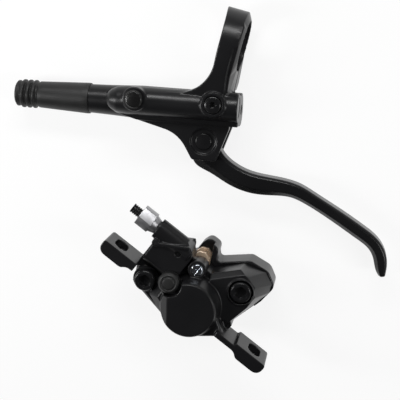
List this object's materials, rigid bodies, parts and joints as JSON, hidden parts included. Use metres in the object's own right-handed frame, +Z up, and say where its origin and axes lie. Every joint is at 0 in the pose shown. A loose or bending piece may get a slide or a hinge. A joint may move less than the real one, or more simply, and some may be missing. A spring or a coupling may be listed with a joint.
{
  "type": "hydraulic disc brake",
  "caption": "Bicycle hydraulic disc brake without hose: a short hand lever with clamp, master cylinder and reservoir, and a post-mount caliper with pads and slotted ears.",
  "frame": {"origin": "on the floor under the caliper, midway between its two mounting slots and in the plane of its mounting face", "axes": "+X along the line through the caliper's two slots, +Y from the mounting face up through the mounting bolts, +Z up from the floor along the rotor's axle"},
  "size_m": [0.1825, 0.1302, 0.0365],
  "materials": {
    "lever_paint": "satin black paint on a casting",
    "blade_paint": "semi-gloss black paint on a forging",
    "caliper_paint": "satin black paint on a casting",
    "black_steel": "black oxide steel",
    "bright_steel": "bare stainless steel",
    "spring_steel": "bare spring steel",
    "nut_steel": "bright plated steel",
    "aluminium": "turned, bare",
    "brass": "turned",
    "bronzed_steel": "bronze coloured plated steel",
    "friction_lining": "resin bonded friction material",
    "piston_resin": "moulded heat resistant resin",
    "black_plastic": "moulded",
    "black_rubber": "matte moulded rubber",
    "seal_rubber": "smooth moulded rubber"
  },
  "bodies": {
    "housing": {"lever_body": "lever_paint", "pivot_pin": "black_steel", "pivot_clip": "spring_steel", "return_spring": "spring_steel", "reservoir_bladder": "seal_rubber", "reservoir_plug": "black_plastic", "port_cap": "black_plastic", "bleed_screw": "black_steel", "bleed_screw_ring": "seal_rubber", "hose_boot": "black_rubber", "hose_connector": "brass", "clamp_bolt": "black_steel", "caliper_outer_half": "caliper_paint", "caliper_inner_half": "caliper_paint", "outer_piston_seal": "seal_rubber", "inner_piston_seal": "seal_rubber", "pad_spring": "spring_steel", "pad_pin": "bright_steel", "pad_pin_clip": "spring_steel", "body_bolt_lower": "black_steel", "body_bolt_upper": "black_steel", "upper_bolt_washer": "black_steel", "bleed_nipple": "bright_steel", "nipple_cap": "black_rubber", "connector_nut": "nut_steel", "port_plug": "black_plastic", "passage_plug": "black_steel"},
    "blade": {"lever_blade": "blade_paint", "reach_screw": "black_steel"},
    "master": {"master_piston": "aluminium", "primary_cup": "seal_rubber", "secondary_cup": "seal_rubber", "push_rod": "bright_steel"},
    "outer_pad": {"outer_piston": "piston_resin", "outer_pad_plate": "bronzed_steel", "outer_pad_lining": "friction_lining"},
    "inner_pad": {"inner_piston": "piston_resin", "inner_pad_plate": "bronzed_steel", "inner_pad_lining": "friction_lining"}
  },
  "joints": [
    {"name": "lever_pull", "type": "hinge", "parent": "housing", "child": "blade", "pos_m": [-0.0372, 0.0629, 0.01], "axis": [0, 0, 1], "range_deg": [0, 20], "stiffness_Nm_per_rad": 0.6, "springref_deg": -11.46},
    {"name": "master_stroke", "type": "slide", "parent": "housing", "child": "master", "axis": [-0.829, -0.5592, 0], "range_m": [0, 0.0049], "deforming": ["return_spring"]},
    {"name": "outer_pad_stroke", "type": "slide", "parent": "housing", "child": "outer_pad", "axis": [0, 0, -1], "range_m": [0, 0.0005], "deforming": ["pad_spring"]},
    {"name": "inner_pad_stroke", "type": "slide", "parent": "housing", "child": "inner_pad", "axis": [0, 0, 1], "range_m": [0, 0.0005], "deforming": ["pad_spring"]}
  ],
  "couplings": [
    {"joint": "master_stroke", "follows": "lever_pull", "m_per_rad": 0.014},
    {"joint": "outer_pad_stroke", "follows": "lever_pull", "m_per_rad": 0.00143},
    {"joint": "inner_pad_stroke", "follows": "lever_pull", "m_per_rad": 0.00143}
  ]
}
